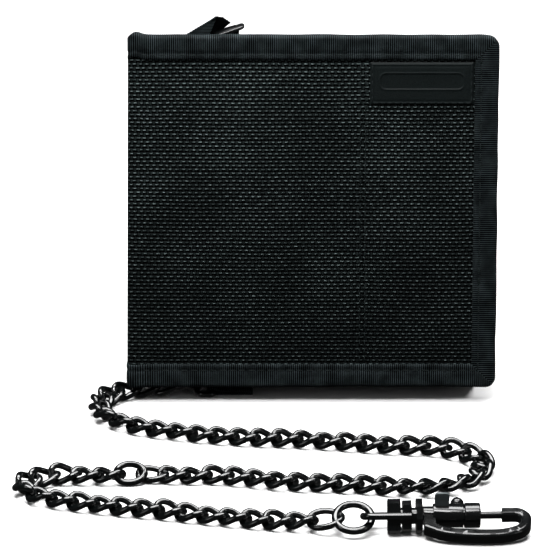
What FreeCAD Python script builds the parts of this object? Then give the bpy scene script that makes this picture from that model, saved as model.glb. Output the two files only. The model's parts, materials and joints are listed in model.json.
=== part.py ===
import FreeCAD, Part
import math
import os

from FreeCAD import Vector

# A bifold nylon wallet that stands on its lower edge, with a steel chain and a swivel snap hook
# lying on the floor in front of it. Millimetres, +Z up. The origin is under the middle of the
# wallet, on the floor. +X runs from the fold towards the open edge, +Y from front to back.

# ---- driving dimensions: the wallet ----
WIDTH = 110.0            # folded, from the spine to the open edge
DEPTH = 26.0             # at the floor, over both covers
LEAN = 7.0               # degrees that the front cover leans back
HEM = 5.0                # the front cover's lower edge above the floor
FRONT_H = 106.5          # front cover, measured along its own face
BACK_H = 106.8           # back cover
BINDING_W = 7.2          # visible width of the edge binding
BINDING_T = 0.6
PANEL_T = 1.2            # coated nylon outer fabric
BOARD_T = 0.8            # stiffening board
LINING_T = 0.4
SPINE_T = 1.2
CORNER_R = 3.0
FOLD_GAP = 0.1           # half the slit between the two halves of the spine

# ---- card pockets and label on the front cover ----
CARD_W = 92.0
POCKET_T = 0.4
POCKET_STEP = 13.0       # how far each card shows above the next pocket
POCKET_TOP = 88.0
POCKET_COUNT = 3
LABEL = (17.0, 47.6, 86.3, 98.8)   # low x, high x, low and high height up the face
LABEL_T = 0.9
LABEL_SINK = 0.6

# ---- pouch on the back cover ----
POUCH_W = 100.0
POUCH_GAP = 0.6          # between the closed front cover's pockets and the pouch
POUCH_WALL_T = 0.6
POUCH_TOP = 99.5         # up the leaning wall
POUCH_FOOT = 3.0         # where the leaning wall ends above its hem
GUSSET_T = 0.8
GUSSET_FOOT_Y = 1.5      # where the gusset meets the floor
DIVIDER_Y = 8.2
DIVIDER_T = 0.4
DIVIDER_TOP = 97.0
WINDOW = (-40.0, 46.0, 34.0, 90.0)
WINDOW_T = 0.25

# ---- zip ----
ZIP_Z = 102.3
ZIP_X = 46.0
TOOTH_PITCH = 1.5
TOOTH = (0.7, 1.5, 1.4)
TAPE_T = 0.5
SLIDER_X = -38.5
SLIDER = (9.0, 4.2, 0.7)
PULL_PIVOT_Z = 106.0
PULL_L = 18.8
PULL_W = 4.4
PULL_WIRE = 0.55
PULL_RISE = 19.3         # degrees above level

# ---- chain, from its ring at the wallet to the ring at the hook ----
CHAIN_D = 4.4
CHAIN_Z = 2.25
ROUTE = [
    (-36.0, -5.0, CHAIN_Z), (-44.0, -5.6, CHAIN_Z), (-52.0, -9.0, CHAIN_Z), (-60.0, -12.0, CHAIN_Z),
    (-66.5, -16.5, CHAIN_Z), (-66.0, -25.5, CHAIN_Z), (-60.0, -30.0, CHAIN_Z), (-50.0, -35.8, CHAIN_Z),
    (-37.0, -39.8, CHAIN_Z), (-24.0, -43.4, CHAIN_Z), (-5.0, -45.3, CHAIN_Z), (9.0, -47.4, CHAIN_Z),
    (22.0, -51.6, CHAIN_Z), (35.0, -48.6, CHAIN_Z), (44.5, -54.0, CHAIN_Z), (54.0, -62.5, CHAIN_Z),
    (46.5, -72.5, CHAIN_Z), (38.0, -80.5, CHAIN_Z), (29.0, -81.8, CHAIN_Z), (18.0, -78.8, CHAIN_Z),
    (0.0, -78.7, CHAIN_Z), (-12.0, -77.7, CHAIN_Z), (-26.0, -72.6, CHAIN_Z), (-40.0, -73.9, CHAIN_Z),
    (-46.3, -71.2, CHAIN_Z), (-53.0, -73.4, CHAIN_Z), (-64.0, -74.2, CHAIN_Z), (-71.0, -72.8, CHAIN_Z),
    (-78.0, -75.6, CHAIN_Z), (-84.0, -80.5, CHAIN_Z), (-81.5, -86.8, CHAIN_Z), (-74.0, -90.4, CHAIN_Z),
    (-64.0, -93.2, CHAIN_Z), (-52.0, -96.4, CHAIN_Z), (-40.0, -98.6, CHAIN_Z), (-28.0, -102.2, CHAIN_Z),
    (-14.0, -105.0, CHAIN_Z), (-4.0, -107.0, 2.5), (4.4, -108.5, 4.0),
]

# ---- ring at the wallet and its webbing tab ----
DRING_WIRE = 0.9
DRING_R = 3.4
DRING_AT = (-31.5, -5.0)
DRING_BAR_X = -30.0
TAB_W = 4.4
TAB_T = 1.2
TAB_END_X = -18.0

# ---- ring, swivel and hook; the hook's own axis is local X, with its middle at HOOK_AT ----
RING_AT = Vector(10.65, -108.7, 4.4)
RING_R = 5.05
RING_WIRE = 1.05
RING_TILT = 24.0
HOOK_AT = Vector(35.0, -108.4, 4.88)
HOOK_YAW = 1.3
HOOK_TILT = 16.1         # the hook's loop leans down to the floor
BOW_TILT = -22.0
BOW_WIRE = 1.0
BOW_HALF = 3.7
BOW_LEFT = 13.4
BOW_RIGHT = 26.4
FLANGES = ((20.0, 23.6, 4.84), (24.1, 26.6, 4.4), (27.9, 29.6, 4.84))
FLANGE_TURN = 10.0       # of the eight-sided flanges about the hook's axis
CORE_R = 2.3
BOW_FLAT = 2.6
STEM_R = 1.2
PIN_X = 25.2             # the two rivets that hold the bow to the spool
PIN_R = 0.5
NECK = (29.9, 41.2, 2.65)
HOUSING = (41.2, 45.7, 3.5)
BORE_R = 1.45
BOLT_R = 1.05
BOLT_TIP = 52.3
SOCKET_X = 50.0          # the bolt's seat in the end of the loop
MOUTH_X = 51.7
BOLT_TRAVEL = 5.0
KNOB_X = 39.6
KNOB_STEM_R = 0.65
KNOB_R = 1.9
KNOB_OUT = 5.3           # from the hook's axis to the middle of the ball
KNOB_ANGLE = -93.0      # about the hook's axis, from straight up; negative is away from the loop
SLEEVE = (32.6, 40.9, 2.73, 3.35)
SLEEVE_TURN = 60.0
TAB_ANGLE = -8.0
THUMB_TAB = (33.0, 37.0, 3.9, 0.8)
HOOK_BAR = (3.0, 3.7)
HOOK_BAR_EDGE = [(0.0, 0.55), (0.4, 0.15), (0.85, 0.0)]   # in from the side and down from the top
HOOK_PATH = [(30.5, -5.3), (35.6, -8.2), (44.0, -9.3), (52.2, -9.1), (58.1, -6.4), (58.1, 0.0), (MOUTH_X, 0.0)]
SPRING = (31.2, 37.0, 1.15, 0.12, 5)

EDGE_X = WIDTH / 2
FRONT_Y = -DEPTH / 2
BACK_Y = DEPTH / 2
SPINE_X = -EDGE_X + SPINE_T
BOARD_W0 = BINDING_T + PANEL_T
LINING_W0 = BOARD_W0 + BOARD_T
COVER_IN = LINING_W0 + LINING_T
POCKET_OUT = COVER_IN + POCKET_COUNT * POCKET_T
WALL_W0 = POCKET_OUT + POUCH_GAP


# ---- small helpers ----
def box(x0, x1, y0, y1, z0, z1):
    return Part.makeBox(x1 - x0, y1 - y0, z1 - z0, Vector(x0, y0, z0))


def rod(radius, start, end):
    axis = end - start
    return Part.makeCylinder(radius, axis.Length, start, axis)


def prism_x(points_yz, x0, x1):
    """A solid of a side outline, from x0 to x1."""
    corners = [Vector(x0, y, z) for y, z in points_yz]
    face = Part.Face(Part.makePolygon(corners + corners[:1]))
    return face.extrude(Vector(x1 - x0, 0, 0))


def round_corners(shape, along, at, radius):
    """Round the edges that run along a direction and pass the test at()."""
    edges = []
    for edge in shape.Edges:
        run = edge.Vertexes[-1].Point - edge.Vertexes[0].Point
        if run.Length and abs(run.normalize().dot(along)) > 0.999 and at(edge.CenterOfMass):
            edges.append(edge)
    return shape.makeFillet(radius, edges)


def on_front(shape):
    """Carry a shape from the front cover's own frame: x, depth behind its face, height up its face."""
    shape = shape.copy()
    shape.rotate(Vector(0, 0, 0), Vector(1, 0, 0), -LEAN)
    shape.translate(Vector(0, FRONT_Y, HEM))
    return shape


def front_point(depth, up):
    """The same for one point of a side outline."""
    lean = math.radians(LEAN)
    return (
        FRONT_Y + depth * math.cos(lean) + up * math.sin(lean),
        HEM + up * math.cos(lean) - depth * math.sin(lean),
    )


def route_wire(points, share=0.45):
    """Straight runs joined by tangent arcs. Returns the wire and the arcs' radii."""
    edges, radii = [], []
    start = points[0]
    for before, corner, after in zip(points, points[1:], points[2:]):
        into, out = corner - before, after - corner
        reach = share * min(into.Length, out.Length)
        turn = into.getAngle(out)
        radius = reach / math.tan(turn / 2)
        radii.append(radius)
        into.normalize()
        out.normalize()
        first = corner - into * reach
        last = corner + out * reach
        inward = (out - into).normalize()
        middle = corner + inward * (radius / math.cos(turn / 2) - radius)
        edges.append(Part.LineSegment(start, first).toShape())
        edges.append(Part.Arc(first, middle, last).toShape())
        start = last
    edges.append(Part.LineSegment(start, points[-1]).toShape())
    return Part.Wire(edges), radii


def sweep(path, section):
    """A solid of a closed section carried along a path."""
    return path.makePipeShell([section], True, False)


def round_section(radius, at, direction):
    return Part.Wire([Part.makeCircle(radius, at, direction)])


def tube(path, radius):
    first = path.Edges[0]
    return sweep(path, round_section(radius, first.valueAt(first.FirstParameter), first.tangentAt(0)))


def save(name, shape):
    if shape.ShapeType != "Solid" and len(shape.Solids) == 1:
        shape = shape.Solids[0]
    if not shape.isValid():
        raise ValueError(name + " is not a valid shape")
    shape.exportStep("parts/" + name + ".step")
    print(f"{name:22s} solids {len(shape.Solids)} volume {shape.Volume:9.2f}")


# ---- the front cover ----
def cover_sheet(depth, thickness, inset, radius):
    """One layer of a cover, in the cover's own frame, with its open-edge corners rounded."""
    sheet = box(SPINE_X, EDGE_X - inset, depth, depth + thickness, inset, FRONT_H - inset)
    return round_corners(sheet, Vector(0, 1, 0), lambda p: p.x > 0, radius)


def edge_binding(height, thickness):
    """Tape folded over the top, the open edge and the bottom of a cover of that height."""
    outer = box(SPINE_X, EDGE_X, 0, thickness, 0, height)
    outer = round_corners(outer, Vector(0, 1, 0), lambda p: p.x > 0, CORNER_R)
    inner = box(
        SPINE_X - 1, EDGE_X - BINDING_T, BINDING_T, thickness - BINDING_T, BINDING_T, height - BINDING_T
    )
    inner = round_corners(inner, Vector(0, 1, 0), lambda p: p.x > 0, CORNER_R - BINDING_T)
    window = box(
        SPINE_X - 1, EDGE_X - BINDING_W, -1, thickness + 1, BINDING_W, height - BINDING_W
    )
    return outer.cut(inner).cut(window)


def front_cover():
    inner_r = CORNER_R - BINDING_T
    save("front_cover_panel", on_front(cover_sheet(BINDING_T, PANEL_T, BINDING_T, inner_r)))
    save("front_stiffener", on_front(cover_sheet(BOARD_W0, BOARD_T, BINDING_T, inner_r)))
    save("front_lining", on_front(cover_sheet(LINING_W0, LINING_T, BINDING_T, inner_r)))
    save("front_binding", on_front(edge_binding(FRONT_H, COVER_IN + BINDING_T)))
    low_x, high_x, low, high = LABEL
    label = box(low_x, high_x, LABEL_SINK - LABEL_T, LABEL_SINK, low, high)
    save("label_patch", on_front(label))


def card_pockets():
    """Panels that overlap like roof tiles, each one open at its upper edge."""
    for i in range(POCKET_COUNT):
        depth = COVER_IN + i * POCKET_T
        top = POCKET_TOP - i * POCKET_STEP
        bottom = BINDING_W + 0.3
        panel = box(-CARD_W / 2, CARD_W / 2, depth, depth + POCKET_T, bottom, top)
        save(f"card_pocket_{i + 1}", on_front(panel))


# ---- the spine, cut in two along the fold so that each half rides with its own cover ----
def fold_point(up):
    """Where the fold's middle plane crosses the side view at that height."""
    half = math.radians(LEAN / 2)
    base = (FRONT_Y - HEM * math.tan(math.radians(LEAN)) + BACK_Y) / 2
    return base + up * math.tan(half)


def spine():
    low_front, high_front = front_point(0, 0), front_point(0, FRONT_H)
    low_y, high_y = fold_point(low_front[1]), fold_point(high_front[1])
    front = [low_front, (low_y - FOLD_GAP, low_front[1]), (high_y - FOLD_GAP, high_front[1]), high_front]
    save("spine_front", prism_x(front, -EDGE_X, SPINE_X))
    back = [
        (fold_point(0) + FOLD_GAP, 0), (BACK_Y, 0), (BACK_Y, BACK_H), (fold_point(BACK_H) + FOLD_GAP, BACK_H)
    ]
    save("spine_back", prism_x(back, -EDGE_X, SPINE_X))


# ---- the back cover and its pouch ----
def back_sheet(depth, thickness):
    """One layer of the back cover, depth measured inwards from its outer face."""
    sheet = box(
        SPINE_X, EDGE_X - BINDING_T, BACK_Y - depth - thickness, BACK_Y - depth, BINDING_T, BACK_H - BINDING_T
    )
    return round_corners(sheet, Vector(0, 1, 0), lambda p: p.x > 0, CORNER_R - BINDING_T)


def back_cover():
    save("back_cover_panel", back_sheet(BINDING_T, PANEL_T))
    save("back_stiffener", back_sheet(BOARD_W0, BOARD_T))
    save("back_lining", back_sheet(LINING_W0, LINING_T))
    binding = edge_binding(BACK_H, COVER_IN + BINDING_T)
    binding.translate(Vector(0, BACK_Y - COVER_IN - BINDING_T, 0))
    save("back_binding", binding)


def pouch():
    half = POUCH_W / 2
    back = BACK_Y - COVER_IN - BINDING_T
    wall = box(-half, half, WALL_W0, WALL_W0 + POUCH_WALL_T, POUCH_FOOT, POUCH_TOP)
    save("pouch_front_wall", on_front(wall))
    low_x, high_x, low, high = WINDOW
    save("id_window", on_front(box(low_x, high_x, WALL_W0 - WINDOW_T, WALL_W0, low, high)))

    foot = front_point(WALL_W0 + POUCH_WALL_T, POUCH_FOOT)
    top = front_point(WALL_W0 + POUCH_WALL_T, POUCH_TOP)
    outline = [foot, (GUSSET_FOOT_Y, 0), (back, 0), (back, top[1]), top]
    slope = math.atan2(foot[1], GUSSET_FOOT_Y - foot[0])
    shift = GUSSET_T / math.cos(slope)
    reach = GUSSET_T * math.tan(slope / 2)
    floor_sheet = [
        foot, (GUSSET_FOOT_Y, 0), (back, 0), (back, GUSSET_T), (GUSSET_FOOT_Y + reach, GUSSET_T),
        (foot[0], foot[1] + shift),
    ]
    gusset = prism_x(floor_sheet, -half, half)
    gusset = gusset.common(prism_x(outline, -half, half))
    for x0 in (-half, half - GUSSET_T):
        gusset = gusset.fuse(prism_x(outline, x0, x0 + GUSSET_T))
    save("pouch_gusset", gusset.removeSplitter())

    inner = half - GUSSET_T - 0.2
    divider = box(-inner, inner, DIVIDER_Y, DIVIDER_Y + DIVIDER_T, GUSSET_T, DIVIDER_TOP)
    save("pouch_divider", divider)
    return back, top


def zip_fastener(back, top):
    """Two tapes with interlocked teeth along the pouch's mouth, the slider and its pull."""
    front = top[0]
    middle = (front + back) / 2
    reach = TOOTH[1] * 0.62
    z0 = ZIP_Z - TAPE_T
    save("zip_tape_front", box(-ZIP_X, ZIP_X, front, middle - reach, z0, ZIP_Z))
    save("zip_tape_back", box(-ZIP_X, ZIP_X, middle + reach, back, z0, ZIP_Z))
    count = int((2 * ZIP_X - 6) / TOOTH_PITCH)
    for side, name in ((-1, "zip_teeth_front"), (1, "zip_teeth_back")):
        teeth = []
        for i in range(count):
            x = -ZIP_X + 3 + i * TOOTH_PITCH + (TOOTH_PITCH / 2 if side > 0 else 0)
            y0, y1 = sorted((middle + side * reach, middle + side * (reach - TOOTH[1])))
            teeth.append(box(x, x + TOOTH[0], y0, y1, ZIP_Z - TOOTH[2] + 0.4, ZIP_Z + 0.4))
        save(name, Part.makeCompound(teeth))
    stops = []
    for x in (-ZIP_X + 0.8, ZIP_X - 2.3):
        stops.append(box(x, x + 1.5, middle - reach, middle + reach, ZIP_Z - 1.0, ZIP_Z + 0.5))
    save("zip_end_stops", Part.makeCompound(stops))
    zip_slider(middle)


def zip_slider(middle):
    length, width, plate = SLIDER
    under = ZIP_Z - TOOTH[2] - 0.1
    over = ZIP_Z + 0.6
    x0, x1 = SLIDER_X - length / 2, SLIDER_X + length / 2
    body = box(x0, x1, middle - width / 2, middle + width / 2, over, over + plate)
    low = box(x0, x1, middle - width / 2, middle + width / 2, under - plate, under)
    body = round_corners(body, Vector(0, 0, 1), lambda p: True, 1.2)
    low = round_corners(low, Vector(0, 0, 1), lambda p: True, 1.2)
    bridge_foot = box(SLIDER_X - 1.5, SLIDER_X + 1.5, middle - 0.7, middle + 0.7, over + plate, PULL_PIVOT_Z + 1.3)
    eye = rod(
        PULL_WIRE + 0.08,
        Vector(SLIDER_X, middle - 2, PULL_PIVOT_Z), Vector(SLIDER_X, middle + 2, PULL_PIVOT_Z),
    )
    crown = round_corners(bridge_foot, Vector(0, 1, 0), lambda p: p.z > PULL_PIVOT_Z, 1.2).cut(eye)
    save("zip_slider_body", body.fuse(crown))
    save("zip_slider_plate", low)

    # an oval wire loop whose near end turns in the slider's eye
    half = PULL_W / 2 - PULL_WIRE
    near, far = 0.0, PULL_L
    y = Vector(0, 1, 0)
    corners = [
        Vector(near, 0, 0), Vector(near, half, 0), Vector(far, half, 0), Vector(far, -half, 0),
        Vector(near, -half, 0), Vector(near, 0, 0),
    ]
    wire, _ = route_wire(corners, 0.3)
    ring = sweep(wire, round_section(PULL_WIRE, corners[0], y))
    place = FreeCAD.Placement(
        Vector(SLIDER_X, middle, PULL_PIVOT_Z), FreeCAD.Rotation(Vector(0, 1, 0), -PULL_RISE)
    )
    ring.Placement = place
    save("zip_pull", ring)

    rise = math.radians(PULL_RISE)
    end = Vector(
        SLIDER_X + PULL_L * math.cos(rise), 0, PULL_PIVOT_Z + PULL_L * math.sin(rise)
    )
    thick = 0.8
    outline = [(-37.4, 109.2), (-29.0, 114.3), (-24.6, 112.9), (end.x, end.z + 1.3), (-24.6, 111.9)]
    corners = [Vector(x, middle - thick, z) for x, z in outline]
    fold = Part.Face(Part.makePolygon(corners + corners[:1])).extrude(Vector(0, 2 * thick, 0))
    loop = rod(1.35, Vector(end.x, middle - thick, end.z), Vector(end.x, middle + thick, end.z))
    hole = rod(PULL_WIRE + 0.1, Vector(end.x, middle - 3, end.z), Vector(end.x, middle + 3, end.z))
    save("zip_pull_ribbon", fold.fuse(loop).cut(hole).removeSplitter())


# ---- the tab and ring that hold the chain ----
def chain_anchor():
    y_mid = DRING_AT[1]
    bar_x = DRING_BAR_X
    z = DRING_WIRE
    corners = [
        Vector(bar_x, y_mid, z), Vector(bar_x, y_mid - DRING_R, z),
        Vector(DRING_AT[0] - 1.9, y_mid - DRING_R, z), Vector(DRING_AT[0] - DRING_R, y_mid - 1.5, z),
        Vector(DRING_AT[0] - DRING_R, y_mid + 1.5, z), Vector(DRING_AT[0] - 1.9, y_mid + DRING_R, z),
        Vector(bar_x, y_mid + DRING_R, z), Vector(bar_x, y_mid, z),
    ]
    wire, _ = route_wire(corners, 0.3)
    save("d_ring", sweep(wire, round_section(DRING_WIRE, corners[0], Vector(0, 1, 0))))

    y0, y1 = y_mid - TAB_W / 2, y_mid + TAB_W / 2
    loop = rod(DRING_WIRE + TAB_T, Vector(bar_x, y0, z), Vector(bar_x, y1, z))
    loop = loop.common(box(bar_x - 4, bar_x + 4, y0, y1, 0.0, 6))
    hole = rod(DRING_WIRE + 0.1, Vector(bar_x, y0 - 1, z), Vector(bar_x, y1 + 1, z))
    strip = box(bar_x, TAB_END_X, y0, y1, 0.05, 2.0)
    strip = strip.cut(box(bar_x - 2, bar_x + 2.6, y0 - 1, y1 + 1, -1, 1.9))
    foot = front_point(WALL_W0 + POUCH_WALL_T, POUCH_FOOT)
    slope = foot[1] / (GUSSET_FOOT_Y - foot[0])
    end_x = TAB_END_X - 4.5
    top_y = foot[0] + 0.4
    sewn = [
        (y0, 0.05), (y1, 0.05), (y1, slope * (GUSSET_FOOT_Y - y1)), (top_y, slope * (GUSSET_FOOT_Y - top_y)),
        (y0, slope * (GUSSET_FOOT_Y - top_y)),
    ]
    tab = loop.cut(hole).fuse(strip).fuse(prism_x(sewn, end_x, TAB_END_X))
    save("chain_tab", tab.removeSplitter())


def chain():
    wire, radii = route_wire([Vector(*p) for p in ROUTE])
    solid = tube(wire, CHAIN_D / 2)
    print("chain length", round(wire.Length, 1), "smallest radii", [round(r, 1) for r in sorted(radii)[:6]])
    print("volume over section times length", round(solid.Volume / (math.pi * CHAIN_D**2 / 4 * wire.Length), 4))
    save("chain", solid)


# ---- the swivel and hook, made along local X and then set down on the floor ----
def set_down(shape, tilt=0.0):
    shape = shape.copy()
    shape.rotate(Vector(0, 0, 0), Vector(1, 0, 0), tilt)
    shape.translate(Vector(-HOOK_AT.x, 0, 0))
    shape.rotate(Vector(0, 0, 0), Vector(0, 0, 1), HOOK_YAW)
    shape.translate(HOOK_AT)
    return shape


def along(x, y=0.0, z=0.0):
    return Vector(x, y, z)


def ring():
    torus = Part.makeTorus(RING_R, RING_WIRE)
    torus.rotate(Vector(0, 0, 0), Vector(1, 0, 0), RING_TILT)
    torus.translate(RING_AT)
    save("end_ring", torus)


def swivel():
    corners = [
        along(BOW_RIGHT, BOW_HALF), along(BOW_LEFT, BOW_HALF), along(BOW_LEFT, -BOW_HALF),
        along(BOW_RIGHT, -BOW_HALF),
    ]
    wire, _ = route_wire(corners, 0.35)
    bow = sweep(wire, round_section(BOW_WIRE, corners[0], Vector(1, 0, 0)))
    save("swivel_bow", set_down(bow, BOW_TILT))

    spool = rod(CORE_R, along(FLANGES[0][0]), along(FLANGES[-1][1]))
    for x0, x1, radius in FLANGES:
        corners = []
        for i in range(8):
            angle = math.radians(FLANGE_TURN + 45 * i)
            corners.append(along(x0, radius * math.cos(angle), radius * math.sin(angle)))
        face = Part.Face(Part.makePolygon(corners + corners[:1]))
        spool = spool.fuse(face.extrude(along(x1 - x0)))
    for side in (-1, 1):
        y0, y1 = sorted((side * BOW_FLAT, side * 9))
        spool = spool.cut(box(FLANGES[0][0] - 1, BOW_RIGHT + 0.1, y0, y1, -9, 9))
    spool = spool.cut(rod(STEM_R + 0.06, along(23.0), along(FLANGES[-1][1] + 1)))
    pins = [rod(PIN_R, along(PIN_X, side * 2.0), along(PIN_X, side * BOW_HALF)) for side in (-1, 1)]
    for pin in pins:
        spool = spool.cut(pin)
    save("swivel_spool", set_down(spool.removeSplitter(), BOW_TILT))
    bow_cut = [pin.cut(bow) for pin in pins]
    save("swivel_pins", set_down(Part.makeCompound(bow_cut), BOW_TILT))


def hook_body():
    neck = rod(NECK[2], along(NECK[0]), along(NECK[1]))
    housing = rod(HOUSING[2], along(HOUSING[0]), along(HOUSING[1]))
    housing = round_corners_round(housing, 0.5)
    bar_w, bar_h = HOOK_BAR
    path, _ = route_wire([along(*p) for p in HOOK_PATH])
    first = path.Edges[0]
    at, run = first.valueAt(first.FirstParameter), first.tangentAt(0)
    side = Vector(0, 0, 1).cross(run)
    corners = []
    for u, v in ((-1, -1), (1, -1), (1, 1), (-1, 1)):
        edge = [
            side * (u * (bar_w / 2 - inward)) + Vector(0, 0, v * (bar_h / 2 - down))
            for inward, down in HOOK_BAR_EDGE
        ]
        corners += edge if u * v > 0 else edge[::-1]
    section = Part.makePolygon([at + c for c in corners] + [at + corners[0]])
    loop = sweep(path, section)
    join = box(NECK[0] + 0.1, NECK[0] + 3.2, -6.0, 0, -bar_h / 2, bar_h / 2)
    body = neck.fuse(housing).fuse(loop).fuse(join)
    body = body.cut(rod(BORE_R, along(SPRING[0] - 0.2), along(HOUSING[1] + 1)))
    slot = box(
        KNOB_X - BOLT_TRAVEL - KNOB_STEM_R - 0.15, KNOB_X + KNOB_STEM_R + 0.15,
        -KNOB_STEM_R - 0.1, KNOB_STEM_R + 0.1, 0, 6,
    )
    slot.rotate(Vector(0, 0, 0), Vector(1, 0, 0), KNOB_ANGLE)
    body = body.cut(slot)
    socket = rod(BOLT_R + 0.15, along(SOCKET_X), along(BOLT_TIP + 0.2))
    body = body.cut(socket)
    body = body.cut(box(HOUSING[1] + 0.01, MOUTH_X, -2.5, 2.5, -3, 3))
    sleeve_room = rod(SLEEVE[3] + 0.3, along(SLEEVE[0] - 0.15), along(SLEEVE[1] + 0.15))
    sleeve_room = sleeve_room.cut(rod(NECK[2], along(0), along(60)))
    body = body.cut(sleeve_room)
    stem = rod(STEM_R, along(24.0), along(NECK[0] + 0.4))
    return body.fuse(stem)


def round_corners_round(cylinder, radius):
    edges = [e for e in cylinder.Edges if isinstance(e.Curve, Part.Circle)]
    return cylinder.makeFillet(radius, edges)


def hook():
    save("hook_body", set_down(hook_body(), HOOK_TILT))

    shank = rod(BORE_R - 0.08, along(SPRING[1]), along(HOUSING[1] - 0.4))
    bolt = rod(BOLT_R, along(SPRING[1]), along(BOLT_TIP)).fuse(shank)
    up = Vector(0, -math.sin(math.radians(KNOB_ANGLE)), math.cos(math.radians(KNOB_ANGLE)))
    knob = rod(KNOB_STEM_R, along(KNOB_X), along(KNOB_X) + up * (KNOB_OUT - KNOB_R / 2))
    ball = Part.makeSphere(KNOB_R, along(KNOB_X) + up * KNOB_OUT)
    hole = rod(KNOB_STEM_R, along(KNOB_X), along(KNOB_X) + up * KNOB_OUT)
    save("bolt", set_down(bolt.cut(hole).removeSplitter(), HOOK_TILT))
    save("bolt_knob", set_down(knob.fuse(ball).removeSplitter(), HOOK_TILT))

    start, end, radius, wire_r, turns = SPRING
    coil_wire = Part.makeHelix((end - start - 2 * wire_r) / turns, end - start - 2 * wire_r, radius)
    section = round_section(wire_r, Vector(radius, 0, 0), Vector(0, 1, 0))
    coil = Part.Wire(coil_wire).makePipeShell([section], True, True)
    coil.rotate(Vector(0, 0, 0), Vector(0, 1, 0), 90)
    coil.translate(along(start + wire_r))
    save("bolt_spring", set_down(coil, HOOK_TILT))

    x0, x1, inner, outer = SLEEVE
    sleeve = rod(outer, along(x0), along(x1)).cut(rod(inner, along(x0 - 1), along(x1 + 1)))
    spread = math.degrees(math.asin((KNOB_STEM_R + 0.3) / outer))
    notch_x = KNOB_X - BOLT_TRAVEL - KNOB_STEM_R - 0.25
    wedge = Part.makeCylinder(outer + 1, x1 + 1 - notch_x, Vector(0, 0, 0), Vector(0, 0, 1), 2 * spread + SLEEVE_TURN)
    wedge.rotate(Vector(0, 0, 0), Vector(0, 1, 0), 90)
    # the wedge now starts at straight down (local -Z) and opens about +X
    wedge.rotate(Vector(0, 0, 0), Vector(1, 0, 0), 180 + KNOB_ANGLE - spread - SLEEVE_TURN)
    wedge.translate(along(notch_x))
    save("lock_sleeve", set_down(sleeve.cut(wedge), HOOK_TILT))

    x0, x1, height, thick = THUMB_TAB
    tab = box(x0, x1, -thick / 2, thick / 2, outer, outer + height)
    tab = round_corners(tab, Vector(0, 1, 0), lambda p: p.z > outer + height / 2, 0.8)
    tab.rotate(Vector(0, 0, 0), Vector(1, 0, 0), TAB_ANGLE)
    save("sleeve_tab", set_down(tab, HOOK_TILT))


def main():
    os.makedirs("parts", exist_ok=True)
    front_cover()
    card_pockets()
    spine()
    back_cover()
    zip_fastener(*pouch())
    chain_anchor()
    chain()
    ring()
    swivel()
    hook()


main()
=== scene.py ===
import json
import math
import random

import bpy
from mathutils import Matrix, Vector, noise


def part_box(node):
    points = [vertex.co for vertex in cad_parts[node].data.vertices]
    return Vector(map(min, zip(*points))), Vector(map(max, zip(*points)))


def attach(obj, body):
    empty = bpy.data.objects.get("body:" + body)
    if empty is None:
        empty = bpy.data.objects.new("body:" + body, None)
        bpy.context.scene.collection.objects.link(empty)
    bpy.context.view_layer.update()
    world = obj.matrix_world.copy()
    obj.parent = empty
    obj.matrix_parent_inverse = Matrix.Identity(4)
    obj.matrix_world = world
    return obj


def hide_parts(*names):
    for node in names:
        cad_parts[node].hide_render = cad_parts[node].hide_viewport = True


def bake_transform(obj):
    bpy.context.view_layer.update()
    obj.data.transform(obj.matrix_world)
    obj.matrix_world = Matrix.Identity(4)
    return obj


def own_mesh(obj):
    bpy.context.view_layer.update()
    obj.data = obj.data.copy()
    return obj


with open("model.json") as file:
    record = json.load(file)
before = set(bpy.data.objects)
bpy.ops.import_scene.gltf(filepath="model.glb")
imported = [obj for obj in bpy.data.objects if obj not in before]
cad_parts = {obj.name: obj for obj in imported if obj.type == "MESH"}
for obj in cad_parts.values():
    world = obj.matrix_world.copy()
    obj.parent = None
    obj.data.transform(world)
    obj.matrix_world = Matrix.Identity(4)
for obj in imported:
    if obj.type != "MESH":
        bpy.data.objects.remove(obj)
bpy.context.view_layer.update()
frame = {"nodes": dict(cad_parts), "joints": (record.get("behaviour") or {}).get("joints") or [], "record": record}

# A bifold nylon wallet with a curb chain and a swivel snap hook. Lengths below are in millimetres
# and are turned into metres as the meshes are made.
MM = 0.001
WIDTH = 110.0
FRONT_H = 106.5
BACK_H = 106.8
DEPTH = 26.0
HEM = 5.0
LEAN = math.radians(7.0)
BINDING_W = 7.2
COVER_T = 3.6
CORNER_R = 3.0
EDGE_X = WIDTH / 2


# ---- camera, light and floor ----
def look(spot, target):
    return (Vector(target) - Vector(spot)).to_track_quat("-Z", "Y").to_euler()


def add_camera():
    data = bpy.data.cameras.new("camera")
    data.sensor_width = 36.0
    data.lens = 237.7
    data.clip_start = 0.05
    data.clip_end = 50.0
    camera = bpy.data.objects.new("camera", data)
    camera.location = (-0.0097, -1.047, 0.4166)
    camera.rotation_euler = look(camera.location, (-0.0097, 0.0, 0.0347))
    bpy.context.scene.collection.objects.link(camera)
    bpy.context.scene.camera = camera


def add_light(name, spot, target, size, watts):
    data = bpy.data.lights.new(name, "AREA")
    data.shape = "RECTANGLE"
    data.size, data.size_y = size
    data.energy = watts
    light = bpy.data.objects.new(name, data)
    light.location = spot
    light.rotation_euler = look(spot, target)
    bpy.context.scene.collection.objects.link(light)


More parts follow.
